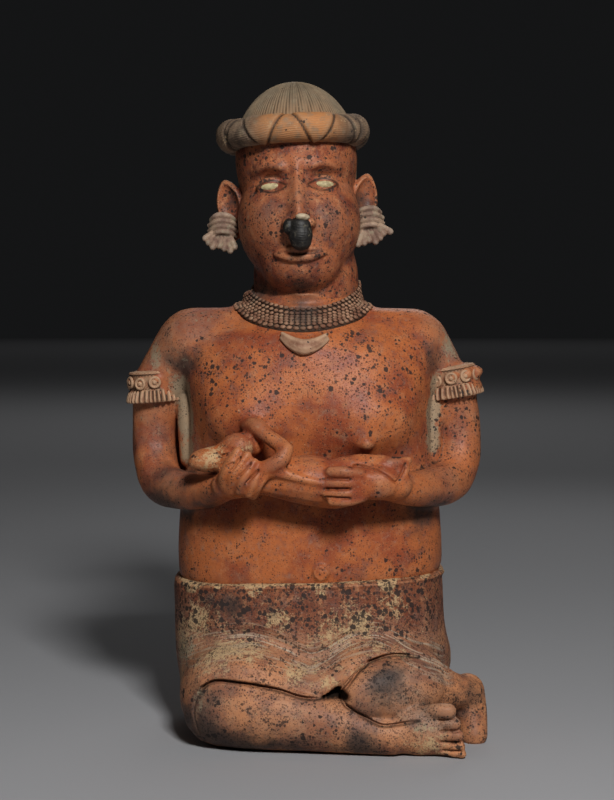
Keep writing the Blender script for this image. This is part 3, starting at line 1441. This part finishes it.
# %% Recipe for crust
def crust_recipe():
    group, given, result = recipe(
        "crust", "Mask", {"Place": (0.0, 0.0, 0.0), "Share": 0.3, "Scale": 60.0, "Fine Scale": 420.0})
    broad = noise(group, given["Place"], given["Scale"], 8.0, roughness=0.75, distortion=0.5)["Fac"]
    fine = noise(group, given["Place"], given["Fine Scale"], 3.0, roughness=0.7)["Fac"]
    level = plus(group, broad, times(group, fine, 0.5))
    pushed = plus(group, level, times(group, given["Share"], 0.42))
    group.links.new(ramp(group, pushed, 0.90, 1.06), result[0])
    return group


crust = crust_recipe()


def flakes(tree, place, share, scale, fine=420.0):
    return use(tree, crust, {"Place": place, "Share": share, "Scale": scale, "Fine Scale": fine})


print("recipe", crust.name)

# %% [markdown]
# Streaks: over the lap the slip was wiped on with a cloth that followed the thighs, so thin pale
# lines sweep along them. Each point knows how far along the sweep it lies and how far across, and
# a noise that is stretched along it gives the lines.

# %% Recipe for streaks
def streaks_recipe():
    group, given, result = recipe(
        "streaks", "Mask", {"Along": 0.0, "Across": 0.0, "Lines": 520.0, "Share": 0.5})
    flat = node(group, "CombineXYZ", {"X": times(group, given["Along"], 22.0),
                                      "Y": times(group, given["Across"], given["Lines"])})[0]
    mask = ramp(group, noise(group, flat, 1.0, 3.0, roughness=0.6)["Fac"], 0.49, 0.62)
    group.links.new(times(group, mask, given["Share"]), result[0])
    return group


streaks = streaks_recipe()
print("recipe", streaks.name)

# %% [markdown]
# Grain: the tooth of the clay and the pebble's strokes. It only gives a height, which each
# material's Bump node uses at its own strength.

# %% Recipe for grain
def grain_recipe():
    group, given, result = recipe(
        "grain", "Height", {"Place": (0.0, 0.0, 0.0), "Scale": 700.0, "Strokes": 0.5})
    tooth = noise(group, given["Place"], given["Scale"], 3.0, roughness=0.6)["Fac"]
    long_way = node(group, "Mapping", {"Vector": given["Place"], "Scale": (35.0, 35.0, 190.0),
                                       "Rotation": (0.2, 0.4, 0.1)})[0]
    strokes = times(group, noise(group, long_way, 1.0, 4.0)["Fac"], given["Strokes"])
    group.links.new(plus(group, tooth, strokes), result[0])
    return group


grain = grain_recipe()
print("recipe", grain.name)

# %% [markdown]
# Red slip is the finish of body, head and skirt. From below: two tones of slip in broad patches,
# worn and clouded places, freckles, rubbed edges, lime, smoke from the fire, dust, manganese spots,
# and grime deep in the slits. The polish shows as a soft gloss that every mark on top dulls.

# %% Red slip
SLIP_ORANGE = (0.47, 0.158, 0.058)
SLIP_DEEP = (0.29, 0.076, 0.036)
SLIP_WORN = (0.50, 0.245, 0.125)
DARK_RED = (0.16, 0.044, 0.024)
CLOUDED = (0.20, 0.130, 0.105)
ASHEN = (0.33, 0.24, 0.185)
PALE_STREAK = (0.50, 0.41, 0.31)
SMOKE = (0.050, 0.046, 0.044)
MANGANESE = (0.040, 0.032, 0.030)
GRIME = (0.035, 0.024, 0.018)
LIME = (0.58, 0.42, 0.24)
EARTH = (0.33, 0.29, 0.20)


def new_material(name):
    material = bpy.data.materials.new(name)
    material.use_nodes = True
    tree = material.node_tree
    shader = tree.nodes["Principled BSDF"]
    place = node(tree, "TexCoord", {})["Object"]
    return material, tree, shader, place


def dress(tree, shader, colour, roughness, height, strength, distance, specular=0.5):
    """Wires colour, roughness and the height of a bump to the shader."""
    tree.links.new(colour, shader.inputs["Base Color"])
    tree.links.new(roughness, shader.inputs["Roughness"])
    bump = node(tree, "Bump", {"Height": height, "Strength": strength, "Distance": distance})[0]
    tree.links.new(bump, shader.inputs["Normal"])
    shader.inputs["Specular IOR Level"].default_value = specular


def tones_of_slip(tree, place, orange, deep, worn_share, cloud_share, busy):
    """Two tones of slip in patches, worn and clouded places, and fine freckles on all of them."""
    colour = tint(tree, patch(tree, place, 26.0 * busy, 0.42, 0.62), orange, deep)
    colour = coat(tree, colour, kept(tree, "deepened"), 0.8, DARK_RED)
    pale = patch(tree, place, 75.0 * busy, 0.50, 0.72, ragged=0.7)
    colour = coat(tree, colour, pale, worn_share, SLIP_WORN)
    torn = patch(tree, place, 60.0, 0.30, 0.70, ragged=0.8)
    ashen = reckon(tree, "MULTIPLY", plus(tree, torn, 0.35), kept(tree, "ashen"), clamp=True)
    colour = coat(tree, colour, ashen, 0.8, ASHEN)
    clouded = patch(tree, place, 52.0 * busy, 0.50, 0.70, ragged=0.75)
    colour = coat(tree, colour, clouded, cloud_share, CLOUDED)
    freckles = patch(tree, place, 420.0, 0.52, 0.66)
    colour = coat(tree, colour, freckles, 0.45, deep)
    flecks = patch(tree, place, 210.0, 0.56, 0.66, ragged=0.7)
    colour = coat(tree, colour, flecks, 0.35, ASHEN)
    grit = patch(tree, place, 800.0, 0.56, 0.70)
    return coat(tree, colour, grit, 0.5, SLIP_WORN), pale


def black_spots(tree, place, spotted, size):
    """Clumps of large spots, scattered small ones, and pinpricks nearly everywhere."""
    apart = minus(tree, 0.85, times(tree, spotted, 0.40))
    wide = plus(tree, size, times(tree, spotted, size * 0.12))
    large = dots(tree, place, 205.0, wide, spotted, cluster=30.0, clumps=apart)
    small = dots(tree, place, 430.0, size * 1.1, plus(tree, spotted, 0.15), cluster=45.0)
    pricks = dots(tree, place, 640.0, size, plus(tree, spotted, 0.45), cluster=60.0, clumps=0.3)
    marks = larger(tree, large, times(tree, small, 0.85))
    return larger(tree, marks, times(tree, pricks, 0.6))


def red_slip(name, orange=SLIP_ORANGE, deep=SLIP_DEEP, worn_share=0.5, cloud_share=0.45, spot_size=0.46,
             gloss=0.40, busy=1.0):
    material, tree, shader, place = new_material(name)
    hollow = kept(tree, "hollow")
    colour, pale = tones_of_slip(tree, place, orange, deep, worn_share, cloud_share, busy)
    edge = ramp(tree, times(tree, hollow, -1.0), 0.10, 0.50)
    colour = coat(tree, colour, edge, 0.5, SLIP_WORN)
    swept = kept(tree, "swept")
    colour = coat(tree, colour, swept, 0.35, CLOUDED)
    lines = use(tree, streaks, {"Along": kept(tree, "along"), "Across": kept(tree, "across"), "Share": swept})
    colour = coat(tree, colour, lines, 0.9, PALE_STREAK)
    limed = flakes(tree, place, kept(tree, "crusted"), 120.0, fine=520.0)
    colour = coat(tree, colour, limed, 0.8, LIME)
    cloud = patch(tree, place, 45.0, 0.30, 0.62, ragged=0.65)
    smoky = ramp(tree, plus(tree, kept(tree, "smoked"), times(tree, cloud, 0.35)), 0.35, 0.95)
    colour = coat(tree, colour, smoky, 0.82, SMOKE)
    dusty = flakes(tree, place, plus(tree, kept(tree, "dusty"), 0.05), 25.0, fine=260.0)
    colour = coat(tree, colour, dusty, 0.75, EARTH)
    black = black_spots(tree, place, kept(tree, "spotted"), spot_size)
    colour = coat(tree, colour, black, 0.9, MANGANESE)
    sunk = larger(tree, times(tree, ramp(tree, hollow, 0.22, 0.75), 0.8), kept(tree, "slit"))
    colour = tint(tree, sunk, colour, GRIME)
    dull = larger(tree, larger(tree, limed, dusty), times(tree, black, 0.6))
    rough = plus(tree, times(tree, dull, 0.35), times(tree, pale, 0.12))
    raised = plus(tree, use(tree, grain, {"Place": place}), times(tree, limed, 0.6))
    pitted = minus(tree, raised, times(tree, black, 0.3))
    dress(tree, shader, colour, reckon(tree, "ADD", rough, gloss, clamp=True), pitted,
          strength=0.4, distance=0.0007, specular=0.22)
    return material


body_slip = red_slip("burnished_red_slip")
face_slip = red_slip("burnished_red_slip_head", orange=(0.40, 0.145, 0.068), deep=(0.22, 0.062, 0.036),
                     worn_share=0.8, cloud_share=0.75, spot_size=0.44, busy=2.3)
skirt_slip = red_slip("weathered_skirt_slip", orange=(0.55, 0.255, 0.125), deep=(0.31, 0.125, 0.070),
                      worn_share=0.9, cloud_share=0.7, spot_size=0.66, gloss=0.48, busy=1.3)
print("red slip made three times")

# %% [markdown]
# The ornaments were left in pale clay under thin orange slip, and their fine modelling holds the
# most dust. Raised edges are rubbed pale and the hollows are dark with earth.

# %% Buff clay
ORNAMENT_GRIME = (0.03, 0.02, 0.014)


def buff_clay(name, light, dark, grime=(0.05, 0.036, 0.028), grey_share=0.3, rubbed=(0.58, 0.40, 0.26),
              warm=(0.50, 0.23, 0.09), lime_share=0.08):
    material, tree, shader, place = new_material(name)
    hollow = kept(tree, "hollow")
    tone = patch(tree, place, 70.0, 0.38, 0.62, ragged=0.65)
    colour = tint(tree, tone, light, dark)
    grey = patch(tree, place, 130.0, 0.5, 0.66, ragged=0.6)
    colour = coat(tree, colour, grey, grey_share, EARTH)
    colour = coat(tree, colour, kept(tree, "warm"), minus(tree, 1.0, times(tree, grey, 0.6)), warm)
    low = larger(tree, ramp(tree, hollow, 0.0, 0.20), kept(tree, "combed"))
    colour = coat(tree, colour, low, 0.85, grime)
    edge = ramp(tree, times(tree, hollow, -1.0), 0.05, 0.30)
    colour = coat(tree, colour, edge, 0.5, rubbed)
    smoke = ramp(tree, kept(tree, "smoked"), 0.2, 0.9)
    colour = coat(tree, colour, smoke, 0.8, SMOKE)
    limed = flakes(tree, place, plus(tree, kept(tree, "crusted"), lime_share), 110.0)
    colour = coat(tree, colour, limed, 0.5, LIME)
    black = dots(tree, place, 300.0, 0.55, kept(tree, "spotted"), cluster=60.0)
    colour = coat(tree, colour, black, 0.85, MANGANESE)
    height = use(tree, grain, {"Place": place, "Scale": 900.0, "Strokes": 0.1})
    dress(tree, shader, colour, plus(tree, times(tree, tone, 0.12), 0.62), height,
          strength=0.5, distance=0.0005, specular=0.3)
    return material


collar_clay = buff_clay("beaded_buff_clay", (0.40, 0.235, 0.15), (0.21, 0.10, 0.062), grime=ORNAMENT_GRIME)
armband_clay = buff_clay("armband_buff_clay", (0.42, 0.240, 0.145), (0.22, 0.100, 0.058),
                         grime=ORNAMENT_GRIME, lime_share=0.15)
ear_clay = buff_clay("ear_ornament_clay", (0.38, 0.265, 0.185), (0.19, 0.115, 0.085),
                     grime=(0.028, 0.020, 0.015), grey_share=0.6, rubbed=(0.42, 0.34, 0.27))
band_clay = buff_clay("wrapped_band_clay", (0.26, 0.185, 0.130), (0.11, 0.082, 0.062),
                      rubbed=(0.36, 0.24, 0.15), warm=(0.47, 0.215, 0.085), lime_share=0.2)
hair_clay = buff_clay("combed_hair_clay", (0.27, 0.195, 0.125), (0.135, 0.112, 0.082), grey_share=0.4,
                      grime=(0.030, 0.026, 0.020), rubbed=(0.30, 0.23, 0.155), warm=(0.40, 0.205, 0.095))
print("buff clay made five times")

# %% [markdown]
# Three small finishes remain: the black knob on the nose, its chipped top, and the white slip in
# the eyes.

# %% Black, chipped and white clay
def plain_finish(name, light, dark, roughness, scale):
    material, tree, shader, place = new_material(name)
    colour = tint(tree, patch(tree, place, scale, 0.42, 0.62), light, dark)
    dirt = flakes(tree, place, 0.25, scale * 0.8)
    colour = coat(tree, colour, dirt, 0.4, EARTH)
    dress(tree, shader, colour, plus(tree, times(tree, dirt, 0.2), roughness),
          use(tree, grain, {"Place": place}), strength=0.35, distance=0.0004)
    return material


knob_clay = plain_finish("black_knob_clay", (0.030, 0.027, 0.024), (0.012, 0.011, 0.010), 0.55, 180.0)
chip_clay = plain_finish("chipped_pale_clay", (0.54, 0.44, 0.31), (0.38, 0.29, 0.19), 0.7, 300.0)
eye_clay = plain_finish("white_eye_slip", (0.52, 0.44, 0.25), (0.34, 0.27, 0.15), 0.6, 350.0)
print("plain finishes made")

# %% [markdown]
# On the skirt three marks follow its shape. Lime lies along the ledge, where the cloth's edge
# catches it, and runs down in drips. The streaks follow the crest of the lap. The black spots are
# thickest on the upright band below the ledge, where the slip is also darker.

# %% Marks of the skirt
def mark_skirt(piece):
    places = mark_zones(piece, crusted=0.12)
    x, y, z = (places - BODY_ORIGIN).T
    below = (np.array(LEDGE_PLACE / MM) - places) @ np.array(LEDGE_UP)
    drips = 5 + 9 * np.clip(np.sin(x * 0.16) * np.sin(x * 0.047 + 1), 0, 1)
    ledge = np.exp(-((below / 2.2) ** 2)) + 0.6 * (1 - rise(below, drips - 3, drips)) * (drips > 6)
    keep(piece, "crusted", np.clip(kept_on(piece, "crusted") + 0.85 * ledge, 0, 1.2))
    knots = smooth_line(CREST, 6)
    across = z - np.interp(x, knots[:, 0], knots[:, 1])
    reach = np.concatenate([[0], np.cumsum(np.linalg.norm(np.diff(knots, axis=0), axis=1))])
    along = np.interp(x, knots[:, 0], reach)
    lap = rise(-y, 10, 50) * (1 - rise(np.abs(x), 118, 132))
    keep(piece, "swept", lap * np.exp(-(((across - 4) / 13) ** 2)))
    keep(piece, "along", along * MM)
    keep(piece, "across", across * MM)
    upright = rise(z, 88, 106)
    in_front = rise(-y, -20, 40)
    keep(piece, "deepened", upright * in_front)
    keep(piece, "spotted", np.clip(0.40 + 0.45 * upright * in_front, 0, 1))


mark_skirt(skirt)
print("the skirt's own marks are kept")

# %% Marks and materials on each piece
FINISHES = [(torso, body_slip), (head, face_slip), (skirt, skirt_slip), (collar, collar_clay),
            (pendant, collar_clay), (band, band_clay), (hair, hair_clay), (nose_ornament, knob_clay),
            (nose_chip, chip_clay)]
FINISHES += [(eye, eye_clay) for eye in eyes]
FINISHES += [(armband, armband_clay) for armband in armbands]
FINISHES += [(ornament, ear_clay) for ornament in ear_ornaments]
for piece, finish in FINISHES:
    piece.data.materials.clear()
    piece.data.materials.append(finish)
mark_zones(torso, spotted=0.36)
mark_zones(head, spotted=0.7)
proud = kept_on(collar, "proud")
keep(collar, "combed", 1 - rise(proud, 0.45, 0.80))
for piece in (collar, pendant, band, hair, *armbands, *ear_ornaments, nose_ornament):
    mark_zones(piece, spotted=0.3)
keep(collar, "hollow", np.zeros(len(proud)))
print(len(FINISHES), "pieces have their finish")

# %% Riding on the frame
pieces = [torso, skirt, head, *eyes, hair, band, collar, pendant, *armbands, *ear_ornaments, nose_ornament,
          nose_chip]
for piece in pieces:
    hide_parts("seated_figure")
    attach(piece, "root")
for piece in (torso, skirt, head):
    only(piece)
    bpy.ops.object.shade_smooth()
print(sum(len(piece.data.polygons) for piece in pieces), "faces in", len(pieces), "pieces")

# %% [markdown]
# The light comes mostly from one soft lamp, high in front and a little to the right. Two weak ones
# open the shadows, and two large ones far behind her light the floor, which fades into the dark.

# %% Floor and light
FLOOR_SIZE = 60
PAPER = (0.40, 0.40, 0.41)
SKY = (0.75, 0.77, 0.8)
SKY_STRENGTH = 0.015
LIGHTS = [  # name, place, aim, size, watts
    ("key", (0.4, -1.82, 1.52), (0, -0.05, 0.22), 0.40, 40),
    ("side", (-1.7, -0.5, 1.2), (0, 0, 0.3), 0.8, 0.8),
    ("back", (0.5, 1.8, 1.4), (0, 0, 0.3), 1.0, 2.5),
    ("far", (0, 4.6, 3.0), (0, 4.8, 0), 3.0, 16),
    ("farther", (0, 20, 14), (0, 20, 0), 8.0, 100),
]

bpy.ops.object.select_all(action="DESELECT")
bpy.ops.mesh.primitive_plane_add(size=FLOOR_SIZE)
floor = bpy.context.object
floor.name = "floor"
paper, _, paper_shader, _ = new_material("studio_paper")
paper_shader.inputs["Base Color"].default_value = (*PAPER, 1)
paper_shader.inputs["Roughness"].default_value = 0.95
floor.data.materials.append(paper)

for name, place, aim, size, power in LIGHTS:
    bpy.ops.object.light_add(type="AREA", location=place)
    light = bpy.context.object
    light.name = name
    light.data.size = size
    light.data.energy = power
    light.rotation_euler = (Vector(aim) - Vector(place)).to_track_quat("-Z", "Y").to_euler()

world = bpy.data.worlds.new("studio")
bpy.context.scene.world = world
world.use_nodes = True
sky = world.node_tree.nodes["Background"].inputs
sky["Color"].default_value = (*SKY, 1)
sky["Strength"].default_value = SKY_STRENGTH
bpy.context.scene.view_settings.view_transform = "Standard"
bpy.context.scene.view_settings.look = "Medium High Contrast"
print(len(LIGHTS), "lights")
